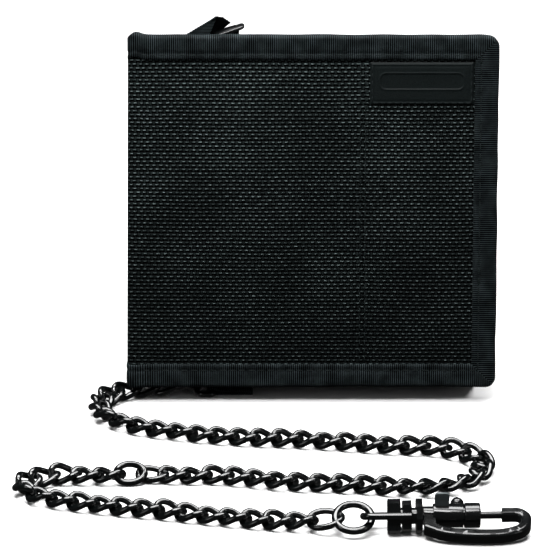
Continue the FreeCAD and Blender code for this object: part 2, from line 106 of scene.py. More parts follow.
def add_studio():
    scene = bpy.context.scene
    scene.view_settings.view_transform = "Standard"
    world = bpy.data.worlds.new("studio")
    scene.world = world
    world.use_nodes = True
    ground = world.node_tree.nodes["Background"]
    ground.inputs["Color"].default_value = (1.0, 1.0, 1.0, 1.0)
    ground.inputs["Strength"].default_value = 0.05
    add_light("top_box", (0.0, 0.13, 1.0), (0.0, 0.0, 0.03), (1.2, 0.5), 24.0)
    add_light("near_box", (-0.05, -0.22, 0.48), (0.0, 0.0, 0.08), (0.5, 0.11), 1.9)
    add_light("left_box", (-0.8, -0.6, 0.45), (0.0, 0.0, 0.04), (0.3, 0.5), 0.8)
    add_light("right_box", (0.8, -0.7, 0.4), (0.0, 0.0, 0.04), (0.2, 0.5), 0.4)
    add_light("small_box", (-0.12, -0.45, 0.85), (0.0, -0.06, 0.02), (0.5, 0.12), 3.6)


# ---- meshes ----
def add_mesh(name, points, faces, material):
    """points in millimetres."""
    mesh = bpy.data.meshes.new(name)
    mesh.from_pydata([Vector(p) * MM for p in points], [], faces)
    mesh.shade_smooth()
    mesh.materials.append(material)
    piece = bpy.data.objects.new(name, mesh)
    bpy.context.scene.collection.objects.link(piece)
    return piece


def give_cloth(piece, values):
    """Cloth coordinates for the woven materials, three numbers for each point."""
    attribute = piece.data.attributes.new("cloth", "FLOAT_VECTOR", "POINT")
    attribute.data.foreach_set("vector", values)


def thicken(piece, thick):
    """Thickness laid on behind the modelled face."""
    solid = piece.modifiers.new("thickness", "SOLIDIFY")
    solid.thickness = thick * MM
    solid.offset = -1.0


def settle(piece, slot, body, *nodes):
    """The piece's finish in the record (not used), the body it moves with, and the CAD nodes it stands for."""
    if nodes:
        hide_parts(*nodes)
    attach(piece, body)


def grid_faces(columns, rows, start=0, loop_columns=False, loop_rows=False, flip=False):
    """Quads of a grid whose points run column by column."""
    faces = []
    for i in range(columns if loop_columns else columns - 1):
        a = start + i * rows
        b = start + (i + 1) % columns * rows
        for j in range(rows if loop_rows else rows - 1):
            k = (j + 1) % rows
            quad = (a + j, b + j, b + k, a + k)
            faces.append(quad[::-1] if flip else quad)
    return faces


class Shape:
    """Points and faces of one piece, gathered from several parts."""

    def __init__(self):
        self.points = []
        self.faces = []

    def grid(self, rows_of_points, loop_columns=False, loop_rows=False, flip=False, caps=False):
        start = len(self.points)
        columns, rows = len(rows_of_points), len(rows_of_points[0])
        for column in rows_of_points:
            self.points += column
        self.faces += grid_faces(columns, rows, start, loop_columns, loop_rows, flip)
        if caps:
            first = [start + j for j in range(rows)]
            last = [start + (columns - 1) * rows + j for j in range(rows)]
            self.faces.append(first if flip else first[::-1])
            self.faces.append(last[::-1] if flip else last)

    def tube(self, line, radius, sides=8, closed=False):
        """A round tube along a line of points; radius is a number or one for each point."""
        count = len(line)
        radii = radius if isinstance(radius, list) else [radius] * count
        rings = []
        side = None
        for i, p in enumerate(line):
            ahead = line[(i + 1) % count] if closed or i + 1 < count else p
            behind = line[i - 1] if closed or i else p
            run = (ahead - behind).normalized()
            if side is None:
                side = run.orthogonal().normalized()
            side = (side - run * side.dot(run)).normalized()
            up = run.cross(side)
            ring = []
            for k in range(sides):
                angle = math.tau * k / sides
                ring.append(p + (side * math.cos(angle) + up * math.sin(angle)) * radii[i])
            rings.append(ring)
        self.grid(rings, loop_columns=closed, loop_rows=True, caps=not closed)

    def make(self, name, material):
        return add_mesh(name, self.points, self.faces, material)


# ---- materials ----
class Nodes:
    """A material and short calls for its node tree."""

    def __init__(self, name, colour, rough, metal=0.0, specular=0.5):
        self.material = bpy.data.materials.new(name)
        self.material.use_nodes = True
        self.tree = self.material.node_tree
        self.shader = self.tree.nodes["Principled BSDF"]
        self.set("Base Color", (*colour, 1.0))
        self.set("Roughness", rough)
        self.set("Metallic", metal)
        self.set("Specular IOR Level", specular)

    def set(self, socket, value):
        self.shader.inputs[socket].default_value = value

    def node(self, kind, **values):
        made = self.tree.nodes.new(kind)
        for key, value in values.items():
            setattr(made, key, value)
        return made

    def plug(self, socket, source):
        if isinstance(source, (int, float)):
            socket.default_value = source
        else:
            self.tree.links.new(source, socket)

    def maths(self, operation, *sources):
        made = self.node("ShaderNodeMath", operation=operation)
        for socket, source in zip(made.inputs, sources):
            self.plug(socket, source)
        return made.outputs[0]

    def plus(self, a, b):
        return self.maths("ADD", a, b)

    def minus(self, a, b):
        return self.maths("SUBTRACT", a, b)

    def times(self, a, b):
        return self.maths("MULTIPLY", a, b)

    def place(self, attribute=None):
        """The surface's own coordinates: the object's, in metres, or a named attribute's."""
        if attribute:
            return self.node("ShaderNodeAttribute", attribute_name=attribute).outputs["Vector"]
        return self.node("ShaderNodeTexCoord").outputs["Object"]

    def split(self, vector):
        made = self.node("ShaderNodeSeparateXYZ")
        self.plug(made.inputs[0], vector)
        return made.outputs

    def join(self, x, y, z):
        made = self.node("ShaderNodeCombineXYZ")
        for socket, source in zip(made.inputs, (x, y, z)):
            self.plug(socket, source)
        return made.outputs[0]

    def noise(self, vector, scale, detail):
        made = self.node("ShaderNodeTexNoise")
        self.plug(made.inputs["Vector"], vector)
        made.inputs["Scale"].default_value = scale
        made.inputs["Detail"].default_value = detail
        return made.outputs["Fac"]

    def ramp(self, source, *stops):
        """Linear steps from value to grey level or colour."""
        made = self.node("ShaderNodeValToRGB")
        self.plug(made.inputs[0], source)
        elements = made.color_ramp.elements
        while len(elements) < len(stops):
            elements.new(0.5)
        for element, (at, colour) in zip(elements, stops):
            element.position = at
            element.color = (colour, colour, colour, 1.0) if isinstance(colour, float) else (*colour, 1.0)
        return made.outputs["Color"]

    def spread(self, source, low, high, out_low, out_high):
        made = self.node("ShaderNodeMapRange")
        for socket, value in zip(made.inputs, (source, low, high, out_low, out_high)):
            self.plug(socket, value)
        return made.outputs[0]

    def bump(self, height, distance):
        made = self.node("ShaderNodeBump")
        self.plug(made.inputs["Height"], height)
        made.inputs["Distance"].default_value = distance
        self.plug(self.shader.inputs["Normal"], made.outputs["Normal"])

    def colour(self, source):
        self.plug(self.shader.inputs["Base Color"], source)

    def roughness(self, source):
        self.plug(self.shader.inputs["Roughness"], source)


def ballistic_nylon():
    """A thick-yarn plain weave, read from the piece's own cloth coordinates in millimetres. Its colour holds
    painted light: highlights on the yarn tops, shade under the weft floats and in the gaps between yarns, and more
    light towards the top of the face.
    """
    m = Nodes("ballistic_nylon", (0.03, 0.04, 0.04), 0.4, specular=0.02)
    cloth = m.place("cloth")
    across, up, _ = m.split(cloth)
    drift = m.times(m.minus(m.noise(cloth, 0.06, 2.0), 0.5), 1.5)
    waver = m.times(m.minus(m.noise(cloth, 0.5, 2.0), 0.5), 0.55)
    s = m.plus(m.maths("DIVIDE", across, 0.98), m.plus(drift, waver))
    t = m.minus(m.maths("DIVIDE", up, 1.17), m.times(drift, 0.22))
    column, row = m.maths("FLOOR", s), m.maths("FLOOR", t)
    in_column, in_row = m.minus(s, column), m.minus(t, row)

    def wave(position, line):
        turn = m.times(m.plus(m.minus(position, 0.5), line), math.pi)
        return m.maths("COSINE", turn)

    def crown(inside, middle, share):
        offset = m.times(m.minus(inside, middle), 2.0)
        return m.times(m.times(offset, offset), -share)

    over, under = wave(s, row), wave(t, column)
    weft = m.plus(m.times(over, 0.55), crown(in_row, 0.56, 1.15))
    warp = m.plus(m.times(under, -0.5), crown(in_column, 0.45, 1.5))
    height = m.maths("MAXIMUM", weft, warp)
    weft_yarn = m.join(m.times(s, 1.2), m.times(t, 13.0), row)
    warp_yarn = m.join(m.times(s, 13.0), m.times(t, 1.2), column)
    weft_fibre, warp_fibre = m.noise(weft_yarn, 1.0, 2.0), m.noise(warp_yarn, 1.0, 2.0)
    on_top = m.maths("GREATER_THAN", weft, warp)
    turned = m.times(warp_fibre, m.minus(1.0, on_top))
    fibre = m.plus(m.times(weft_fibre, on_top), turned)
    m.bump(m.plus(height, m.times(fibre, 0.22)), 0.00034)
    # painted highlight: bright thin dashes along the upper edge of each weft float, where the overhead light
    # catches it
    long = m.spread(over, -0.2, 0.45, 0.0, 1.0)
    thin = m.spread(crown(in_row, 0.7, 1.0), -0.085, -0.01, 0.0, 1.0)
    painted_highlight_dash = m.times(m.times(long, thin), m.spread(weft_fibre, 0.3, 0.62, 0.4, 1.2))
    # painted highlight: thin upright lines along the warp floats
    tall = m.spread(under, 0.35, -0.5, 0.0, 1.0)
    slim = m.spread(crown(in_column, 0.3, 1.0), -0.3, 0.0, 0.0, 1.0)
    painted_highlight_stroke = m.times(m.times(tall, slim), m.spread(warp_fibre, 0.3, 0.62, 0.12, 0.42))
    # painted shade: the lower half of each weft float is darkened, and the open warp between floats is kept dim
    painted_shade_under_weft = m.times(m.spread(in_row, 0.36, 0.6, 0.0, 0.25), on_top)
    open_warp = m.times(m.spread(warp, -0.35, 0.3, 0.03, 0.25), m.minus(1.0, on_top))
    body = m.plus(painted_shade_under_weft, open_warp)
    broad = m.spread(m.noise(cloth, 0.045, 2.0), 0.35, 0.65, 0.82, 1.15)
    patchy = m.times(m.spread(m.noise(cloth, 0.8, 3.0), 0.3, 0.7, 0.55, 1.35), broad)
    lit = m.times(m.maths("MAXIMUM", body, m.maths("MAXIMUM", painted_highlight_dash, painted_highlight_stroke)), patchy)
    # painted light: the weave is made lighter towards the top of the face, as the overhead light falls
    rise = m.spread(up, 0.0, 106.0, 0.68, 1.12)
    shade = m.times(lit, rise)
    # painted shade: the ramp's darkest stop paints the gaps between the yarns near black
    m.colour(m.ramp(
        shade, (0.0, 0.0003), (0.2, (0.0085, 0.0112, 0.0114)), (0.55, (0.033, 0.044, 0.044)),
        (1.0, (0.15, 0.19, 0.19)),
    ))
    m.roughness(m.spread(fibre, 0.3, 0.7, 0.36, 0.5))
    return m.material


def grosgrain():
    """The tape's ribs are modelled; this adds the fine yarn across them and a little wear, and paints shade in the
    grooves between the ribs from the rib height in the cloth attribute.
    """
    m = Nodes("grosgrain", (0.02, 0.021, 0.023), 0.5, specular=0.03)
    place = m.place()
    fine = m.noise(place, 5200.0, 2.0)
    wide = m.noise(place, 240.0, 3.0)
    _, _, rib = m.split(m.place("cloth"))
    m.bump(fine, 0.00006)
    # painted shade: the colour runs from near black in the grooves between ribs to lighter on the rib crowns, with
    # uneven tone from the noise
    uneven = m.plus(rib, m.times(m.minus(wide, 0.5), 0.8))
    m.colour(m.ramp(
        uneven, (0.3, (0.0004, 0.0006, 0.0007)), (0.62, (0.0068, 0.0092, 0.01)),
        (1.0, (0.047, 0.061, 0.065)),
    ))
    m.roughness(m.spread(fine, 0.3, 0.7, 0.45, 0.62))
    return m.material


def plain_cloth(name, colour, weave=2600.0):
    """A fine lining taffeta."""
    m = Nodes(name, colour, 0.6, specular=0.1)
    x, _, z = m.split(m.place())
    turn = weave * math.tau / 2
    lines = m.times(m.maths("SINE", m.times(x, turn)), m.maths("SINE", m.times(z, turn)))
    wide = m.noise(m.place(), 90.0, 4.0)
    m.bump(lines, 0.00005)
    dark = tuple(c * 0.75 for c in colour)
    light = tuple(c * 1.3 for c in colour)
    m.colour(m.ramp(wide, (0.3, dark), (0.7, light)))
    m.roughness(m.spread(wide, 0.3, 0.7, 0.52, 0.68))
    return m.material


def black_metal(name, colour, rough, grain=900.0, depth=0.00002, metal=0.0, shine=0.5):
    """Black oxide or paint on metal: glossy, a little uneven, with fine handling marks."""
    m = Nodes(name, colour, rough, metal=metal, specular=shine)
    place = m.place()
    fine = m.noise(place, grain, 3.0)
    wide = m.noise(place, grain / 7, 2.0)
    m.bump(fine, depth)
    m.roughness(m.spread(wide, 0.3, 0.7, rough * 0.75, rough * 1.35))
    light = tuple(c * 1.5 for c in colour)
    m.colour(m.ramp(wide, (0.35, colour), (0.75, light)))
    return m.material


def thread():
    m = Nodes("sewing_thread", (0.02, 0.025, 0.026), 0.5, specular=0.04)
    fine = m.noise(m.place(), 6000.0, 2.0)
    m.bump(fine, 0.00004)
    m.colour(m.ramp(fine, (0.3, (0.006, 0.008, 0.008)), (0.7, (0.018, 0.024, 0.0245))))
    return m.material


def satin_label():
    m = Nodes("satin_label", (0.008, 0.0085, 0.009), 0.4, specular=0.05)
    fine = m.noise(m.place(), 3000.0, 2.0)
    m.bump(fine, 0.000015)
    m.roughness(m.spread(fine, 0.3, 0.7, 0.34, 0.46))
    m.colour(m.ramp(fine, (0.3, (0.0055, 0.0075, 0.0078)), (0.7, (0.0105, 0.014, 0.014))))
    return m.material


def clear_film():
    m = Nodes("clear_film", (0.85, 0.87, 0.88), 0.12, specular=0.5)
    m.set("Transmission Weight", 0.9)
    m.set("IOR", 1.45)
    wide = m.noise(m.place(), 60.0, 2.0)
    m.bump(wide, 0.0004)
    return m.material


def pale_floor():
    m = Nodes("pale_floor", (0.9, 0.9, 0.9), 0.75, specular=0.1)
    m.colour(m.ramp(m.noise(m.place(), 30.0, 3.0), (0.3, 0.88), (0.7, 0.92)))
    return m.material


nylon = ballistic_nylon()
tape_cloth = grosgrain()
lining_cloth = plain_cloth("lining_taffeta", (0.012, 0.0125, 0.014))
zip_cloth = plain_cloth("zip_tape_cloth", (0.014, 0.0145, 0.016), 1800.0)
chain_metal = black_metal("chain_black", (0.0012, 0.0017, 0.0018), 0.1, depth=0.000004, shine=0.8)
cast_metal = black_metal("cast_black", (0.0025, 0.0029, 0.0031), 0.14, 1500.0, 0.00001, shine=0.55)
bolt_metal = black_metal("bolt_steel", (0.003, 0.0034, 0.0036), 0.18)
spring_metal = black_metal("spring_steel", (0.25, 0.25, 0.26), 0.3, metal=1.0)
tab_metal = black_metal("grey_tab", (0.045, 0.056, 0.058), 0.45, 2500.0, 0.00003)
zip_metal = black_metal("zip_black", (0.003, 0.0034, 0.0036), 0.22)
grip_metal = black_metal("grip_black", (0.003, 0.0034, 0.0036), 0.24, shine=0.06)
sewing_thread = thread()
label_satin = satin_label()
film = clear_film()


# cast and turned parts, and how far each one's edges are rounded over
SOFT_EDGED = {
    "hook_body": 0.28, "swivel_spool": 0.22, "lock_sleeve": 0.12, "sleeve_tab": 0.12,
    "zip_slider_body": 0.15, "zip_slider_plate": 0.12, "bolt": 0.1,
}


def dress_cad():
    """Better materials for the CAD nodes that stay."""
    by_slot = {
        "chain_steel": chain_metal, "hook_casting": cast_metal, "bolt_steel": bolt_metal,
        "spring_steel": spring_metal, "tab_metal": tab_metal, "zip_metal": zip_metal,
        "zip_teeth": zip_metal, "board": lining_cloth, "ballistic_nylon": nylon,
        "binding_tape": tape_cloth, "webbing": tape_cloth, "lining": lining_cloth,
        "zip_tape": zip_cloth, "label": label_satin, "window_film": film,
    }
    for part in frame["record"]["subparts"]:
        node = frame["nodes"][part["node"]]
        node.data.materials.clear()
        node.data.materials.append(by_slot[part["material_slot"]])
        if part["node"] in SOFT_EDGED:
            weld = node.modifiers.new("weld", "WELD")
            weld.merge_threshold = 0.004 * MM
            bevel = node.modifiers.new("bevel", "BEVEL")
            bevel.width = SOFT_EDGED[part["node"]] * MM
            bevel.segments = 3
            bevel.limit_method = "ANGLE"
            bevel.angle_limit = math.radians(34)
            bevel.harden_normals = True


def add_floor():
    half = 4000.0
    corners = [(-half, -half, -0.02), (half, -half, -0.02), (half, half, -0.02), (-half, half, -0.02)]
    floor = add_mesh("floor", corners, [(0, 1, 2, 3)], pale_floor())
    floor.visible_diffuse = False
    floor.visible_glossy = False


# ---- the chain ----
# the chain's route over the floor, x and y, and the few points that aren't at its usual height
ROUTE_PLAN = [
    (-34.6, -5.0), (-44.0, -5.0), (-52.0, -7.0), (-59.5, -10.0), (-63.6, -16.5), (-63.8, -27.5),
    (-58.0, -33.0), (-50.0, -37.6), (-37.0, -41.4), (-24.0, -44.4), (-5.0, -46.4), (9.0, -48.2),
    (22.0, -51.4), (34.5, -51.8), (44.0, -56.5), (50.2, -64.8), (47.0, -75.8), (38.5, -82.2),
    (29.0, -83.2), (18.0, -80.4), (0.0, -78.7), (-12.0, -77.7), (-26.0, -72.6), (-40.0, -73.9),
    (-46.3, -71.2), (-53.0, -73.4), (-64.0, -74.2), (-71.0, -72.8), (-78.0, -75.6), (-84.0, -80.5),
    (-81.5, -86.8), (-74.0, -90.4), (-64.0, -93.2), (-52.0, -96.4), (-40.0, -98.6), (-28.0, -102.2),
    (-14.0, -105.0), (-4.0, -107.0), (6.5, -108.6),
]
CHAIN_Z = 2.25
ROUTE = [[x, y, CHAIN_Z] for x, y in ROUTE_PLAN]
for index, height in {0: 2.0, -2: 2.5, -1: 4.2}.items():
    ROUTE[index][2] = height
LINK_WIRE = 0.94
LINK_PITCH = 6.3
LINK_HALF = 2.74
LINK_TWIST = -1.15


def spline_points(points, resolution=12):
    """The smooth line of a NURBS spline with these control points, in millimetres."""
    curve = bpy.data.curves.new("route", "CURVE")
    curve.dimensions = "3D"
    spline = curve.splines.new("NURBS")
    spline.points.add(len(points) - 1)
    for point, place in zip(spline.points, points):
        point.co = (*place, 1.0)
    spline.order_u = 3
    spline.use_endpoint_u = True
    spline.resolution_u = resolution
    holder = bpy.data.objects.new("route", curve)
    mesh = bpy.data.meshes.new_from_object(holder)
    line = [v.co.copy() for v in mesh.vertices]
    bpy.data.objects.remove(holder)
    bpy.data.meshes.remove(mesh)
    bpy.data.curves.remove(curve)
    return line


def step_along(line, lengths):
    """Joints at straight-line distances from each other, taken in order along the line."""
    joints = [line[0]]
    at = 0
    for length in lengths:
        here = joints[-1]
        while at + 1 < len(line) and (line[at + 1] - here).length < length:
            at += 1
        if at + 1 == len(line):
            break
        a, b = line[at], line[at + 1]
        run = b - a
        low, high = 0.0, 1.0
        for _ in range(30):
            middle = (low + high) / 2
            if (a + run * middle - here).length < length:
                low = middle
            else:
                high = middle
        joints.append(a + run * high)
    return joints


def link_line(long, wide, twist, steps=36):
    """The middle of a curb link's wire: an oval whose two sides cross in height."""
    line = []
    for i in range(steps):
        t = math.tau * i / steps
        line.append(Vector((long * math.cos(t), wide * math.sin(t), twist * math.sin(2 * t))))
    return line


# links that aren't like their neighbours: which one, then half width, twist, wire, roll and how far
# it lies in front of the line
ODD_LINKS = {
    43: (2.2, -0.5, 0.9, -0.45, 0.5), 44: (2.75, -0.4, 0.98, -0.9, 1.8), 46: (2.9, -1.1, 0.95, 0.1, 0.0),
}
LAST_LINK = (7.4, 3.3, -0.35, 0.92, 0.35)


def add_chain(coil):
    """coil is the bolt's spring, one of the pieces at the chain's far end; it is not used."""
    line = spline_points(ROUTE)
    total = sum((b - a).length for a, b in zip(line, line[1:]))
    count = round((total - LAST_LINK[0]) / LINK_PITCH)
    short, pitch = LINK_PITCH * 0.8, LINK_PITCH * 1.1
    for _ in range(30):
        trial = (short + pitch) / 2
        joints = step_along(line, [trial] * count + [LAST_LINK[0]])
        if len(joints) < count + 2:
            pitch = trial
        else:
            short = trial
    joints = step_along(line, [short] * count + [LAST_LINK[0]])
    joints[-1] = line[-1]
    last = len(joints) - 2
    dice = random.Random(7)
    chain = Shape()
    for i, (a, b) in enumerate(zip(joints, joints[1:])):
        run = b - a
        middle = (a + b) / 2
        before = joints[i - 1] if i else a - run
        after = joints[i + 2] if i + 2 < len(joints) else b + run
        turn = (a - before).to_2d().angle_signed((after - b).to_2d(), 0.0)
        roll = max(-0.5, min(0.5, turn * 0.4)) + dice.uniform(-0.09, 0.09)
        wire_r = LINK_WIRE
        wide = LINK_HALF + dice.uniform(-0.16, 0.12)
        twist = LINK_TWIST * dice.uniform(0.9, 1.1)
        if i == 0:
            roll += 0.5
        if i == last:
            _, wide, twist, wire_r, roll = LAST_LINK
        if i in ODD_LINKS:
            wide, twist, wire_r, roll, forward = ODD_LINKS[i]
            middle = middle - Vector((0, forward, 0))
        long = run.length / 2 + wire_r + 0.03
        x = run.normalized()
        y = Vector((0, 0, 1)).cross(x).normalized()
        z = x.cross(y)
        spin = Matrix.Rotation(roll, 3, x)
        y, z = spin @ y, spin @ z
        wire = [middle + x * p.x + y * p.y + z * p.z for p in link_line(long, wide, twist)]
        low = min(p.z for p in wire) - wire_r
        lift = 0.05 - low if i not in (0, last, last - 1) else max(0.0, 0.05 - low)
        wire = [p + Vector((0, 0, lift)) for p in wire]
        chain.tube(wire, wire_r, 12, closed=True)
    piece = chain.make("chain_links", chain_metal)
    settle(piece, "chain_steel", "back_half", "chain")


# ---- the two covers' own frames ----
class Cover:
    """Places points by x, depth behind the outer face, and height up the face."""

    def __init__(self, body, origin, up, out, height):
        self.body = body
        self.origin = Vector(origin)
        self.up = Vector(up)
        self.out = Vector(out)
        self.height = height

    def at(self, x, depth, up):
        return self.origin + Vector((x, 0, 0)) + self.up * up - self.out * depth


front = Cover(
    "front_cover", (0, -DEPTH / 2, HEM), (0, math.sin(LEAN), math.cos(LEAN)),
    (0, -math.cos(LEAN), math.sin(LEAN)), FRONT_H,
)
back = Cover("back_half", (0, DEPTH / 2, 0), (0, 0, 1), (0, 1, 0), BACK_H)


def bend_with_fold(piece):
    """Bakes the piece's placement into its mesh."""
    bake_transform(piece)


def lerp(a, b, share):
    return a + (b - a) * share


def smooth(share):
    share = max(0.0, min(1.0, share))
    return share * share * (3 - 2 * share)


def bezier(a, b, c, share):
    return lerp(lerp(a, b, share), lerp(b, c, share), share)


# ---- outer fabric: one sheet from the front cover round the spine to the back cover ----
SEAM_X = 14.9


def outer_fabric_lines():
    """Plan columns of the sheet: for each column, a function of the height share."""
    columns = []
    span = [54.3 - 2.4 * i for i in range(45)] + [SEAM_X + 0.9, SEAM_X + 0.3, SEAM_X - 0.3, SEAM_X - 0.9]
    span.sort(reverse=True)
    for x in span:
        columns.append(("front", x))
    for i in range(25):
        columns.append(("spine", i / 24))
    for x in reversed(span):
        columns.append(("back", x))
    return columns


def spread_foot(x, share):
    """How far the fabric near the spine moves out at that share of the height."""
    return -1.15 * (1.0 - share) * smooth((TAPE_START - x) / 8.5)


def fabric_point(kind, value, share):
    p = flat_fabric_point(kind, value, share)
    return p + Vector((spread_foot(p.x, share), 0, 0))


def flat_fabric_point(kind, value, share):
    f = front.at(0, 0.55, 0.6 + (FRONT_H - 1.2) * share)
    b = back.at(0, 0.55, 0.6 + (BACK_H - 1.2) * share)
    if kind == "front":
        dip = 0.3 * math.exp(-(((value - SEAM_X) / 0.5) ** 2))
        return Vector((value, f.y, f.z)) - front.out * dip
    if kind == "back":
        return Vector((value, b.y, b.z))
    plane = -EDGE_X + 0.35
    reach = 2.2
    corner_f, corner_b = Vector((plane, f.y, f.z)), Vector((plane, b.y, b.z))
    run = (corner_b - corner_f).normalized()
    if value < 0.25:
        return bezier(corner_f + Vector((reach, 0, 0)), corner_f, corner_f + run * reach, value / 0.25)
    if value > 0.75:
        return bezier(
            corner_b - run * reach, corner_b, corner_b + Vector((reach, 0, 0)), (value - 0.75) / 0.25
        )
    middle = lerp(corner_f + run * reach, corner_b - run * reach, (value - 0.25) * 2)
    return middle + Vector((0.25 * math.sin((value - 0.25) * math.tau), 0, 0))


def add_outer_fabric():
    columns = outer_fabric_lines()
    rows = 46
    sheet = Shape()
    grid = [[fabric_point(kind, value, j / (rows - 1)) for j in range(rows)] for kind, value in columns]
    sheet.grid(grid, flip=True)
    piece = sheet.make("outer_fabric", nylon)
    across = 0.0
    cloth = []
    for i, column in enumerate(grid):
        if i:
            across += (column[rows // 2] - grid[i - 1][rows // 2]).length
        for j in range(rows):
            cloth += [across, (FRONT_H - 1.2) * j / (rows - 1), 0.0]
    give_cloth(piece, cloth)
    swell(piece, columns, rows)
    smoother = piece.modifiers.new("smooth", "SUBSURF")
    smoother.levels = smoother.render_levels = 1
    thicken(piece, 0.5)
    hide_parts("front_cover_panel", "spine_front", "spine_back", "back_cover_panel")
    bend_with_fold(piece)


def held(kind, value, share):
    """How firmly the cloth is held at that place, from 0 to 1."""
    height = share * FRONT_H
    edge = min(height, FRONT_H - height)
    if kind != "spine":
        edge = min(edge, EDGE_X - value, value + EDGE_X + 1.0)
    else:
        edge = 0.0
    return 1.0 if edge < 6.9 else 0.0


def swell(piece, columns, rows):
    """The cloth swells a little between its seams; it is pinned under the binding and on the spine."""
    mesh = piece.data
    rest = [v.co.copy() for v in mesh.vertices]
    group = piece.vertex_groups.new(name="pinned")
    for i in range(len(rest)):
        kind, value = columns[i // rows]
        group.add([i], held(kind, value, (i % rows) / (rows - 1)), "REPLACE")
    cloth = piece.modifiers.new("swell", "CLOTH")
    settings = cloth.settings
    settings.quality = 6
    settings.mass = 0.3
    settings.tension_stiffness = 40.0
    settings.compression_stiffness = 40.0
    settings.bending_stiffness = 4.0
    settings.vertex_group_mass = "pinned"
    settings.use_pressure = True
    settings.uniform_pressure_force = 3.0
    settings.effector_weights.gravity = 0.0
    cloth.collision_settings.use_collision = False
    scene = bpy.context.scene
    for number in range(1, 21):
        scene.frame_set(number)
    swollen = piece.evaluated_get(bpy.context.evaluated_depsgraph_get()).to_mesh()
    shifts = [v.co - rest[i] for i, v in enumerate(swollen.vertices)]
    piece.evaluated_get(bpy.context.evaluated_depsgraph_get()).to_mesh_clear()
    piece.modifiers.remove(cloth)
    piece.vertex_groups.remove(group)
    scene.frame_set(1)
    cap = 1.15 * MM
    for vertex, place, shift in zip(mesh.vertices, rest, shifts):
        if shift.length > cap:
            shift = shift * (cap / shift.length)
        vertex.co = place + shift


# ---- grosgrain edge binding ----
TAPE_START = -46.0
RIB = 0.62
RIB_H = 0.085
STITCH_IN = 5.3
STITCH_SUNK = 0.2
TOP_LIFT = 0.5
TAPE_BEND = 1.15


def tape_profile(thick):
    """The tape's closed section: distance in from the edge, depth, and a normal for the ribs."""
    width = BINDING_W
    bend = min(TAPE_BEND, thick / 2 - 0.05)
    outer = [(width, 0.22, 0.0), (width - 0.25, -0.02, 0.6)]
    for d in (6.4, 6.0, 5.7, 5.3, 4.9, 4.5, 3.8, 2.9, 2.1):
        dip = 0.26 * math.exp(-(((d - STITCH_IN) / 0.45) ** 2))
        outer.append((d, dip, 1.0))
    points = [(d, depth, (0.0, -rib)) for d, depth, rib in outer]
    for i in range(6):
        angle = math.pi / 2 * i / 5
        c, s = math.cos(angle), math.sin(angle)
        points.append((bend - bend * s, bend - bend * c, (-s, -c)))
    for i in range(6):
        angle = math.pi / 2 * i / 5
        c, s = math.cos(angle), math.sin(angle)
        points.append((bend - bend * c, thick - bend + bend * s, (-c, s)))
    for d, depth, rib in reversed(outer[1:]):
        points.append((d, thick - depth, (0.0, rib)))
    points.append((width, thick - 0.22, (0.0, 0.0)))
    points.append((width - 0.4, thick - 0.6, (0.0, 0.0)))
    points.append((0.7, thick - 0.65, (0.0, 0.0)))
    points.append((0.7, 0.65, (0.0, 0.0)))
    points.append((width - 0.4, 0.6, (0.0, 0.0)))
    return points


def tape_column(edge, into, out, thick, along, least=0.0, most=BINDING_W, lift=0.0):
    """One section of tape at a point of the edge; along is the distance that sets the ribs."""
    rib = RIB_H * (0.5 - 0.5 * math.cos(math.tau * along / RIB))
    sway = 0.22 * noise.noise(Vector((along * 0.11, edge.y * 0.02, 3.7)))
    column = []
    for d, depth, (push_d, push_depth) in tape_profile(thick):
        d = d + push_d * rib + sway * (1 - smooth(d / BINDING_W)) - lift
        depth = depth + push_depth * rib
        d = min(least + d, most) if least > 0.001 or most < BINDING_W else d
        column.append(edge + into * d - out * depth)
    return column


def cover_strip(cover, side):
    """Columns of tape along one side of a cover, mitred at the open-edge corners."""
    columns, marks = [], []
    step = RIB / 4
    x = Vector((1, 0, 0))
    if side == "open":
        length = cover.height
    else:
        length = EDGE_X - TAPE_START
    count = int(length / step)
    for i in range(count + 1):
        s = length * i / count
        if side == "open":
            near = min(s, length - s)
            edge = cover.at(EDGE_X, 0, s)
            into = -x
        else:
            near = length - s
            up = cover.height if side == "top" else 0.0
            edge = cover.at(s + TAPE_START, 0, up)
            into = -cover.up if side == "top" else cover.up
        if near < CORNER_R * (1 - math.sqrt(0.5)):
            continue
        least = 0.0
        if near < CORNER_R:
            least = CORNER_R - math.sqrt(CORNER_R**2 - (CORNER_R - near) ** 2)
        most = min(BINDING_W, near)
        over = 0.1 if side == "open" and near < BINDING_W else 0.0
        lift = TOP_LIFT * smooth(near / 6.0) if side == "top" else 0.0
        edge = edge - cover.out * over
        columns.append(tape_column(edge, into, cover.out, COVER_T, s, least, most, lift))
        marks.append(s)
    return columns, marks


def mark_ribs(piece, marks, rows):
    """The grosgrain's cloth coordinates: along the tape, its row, and how high the rib stands, which sets the
    painted shade in the grooves.
    """
    values = []
    for along in marks:
        rib = 0.5 - 0.5 * math.cos(math.tau * along / RIB)
        for j in range(rows):
            values += [along, j, rib]
    give_cloth(piece, values)


def add_cover_binding(cover, name, node):
    tape = Shape()
    marks = []
    for side in ("top", "open", "bottom"):
        flip = (side != "bottom") == (cover is front)
        columns, along = cover_strip(cover, side)
        marks += along
        tape.grid(columns, loop_rows=True, caps=True, flip=flip)
    piece = tape.make(name, tape_cloth)
    mark_ribs(piece, marks, len(columns[0]))
    settle(piece, "binding_tape", cover.body, node)


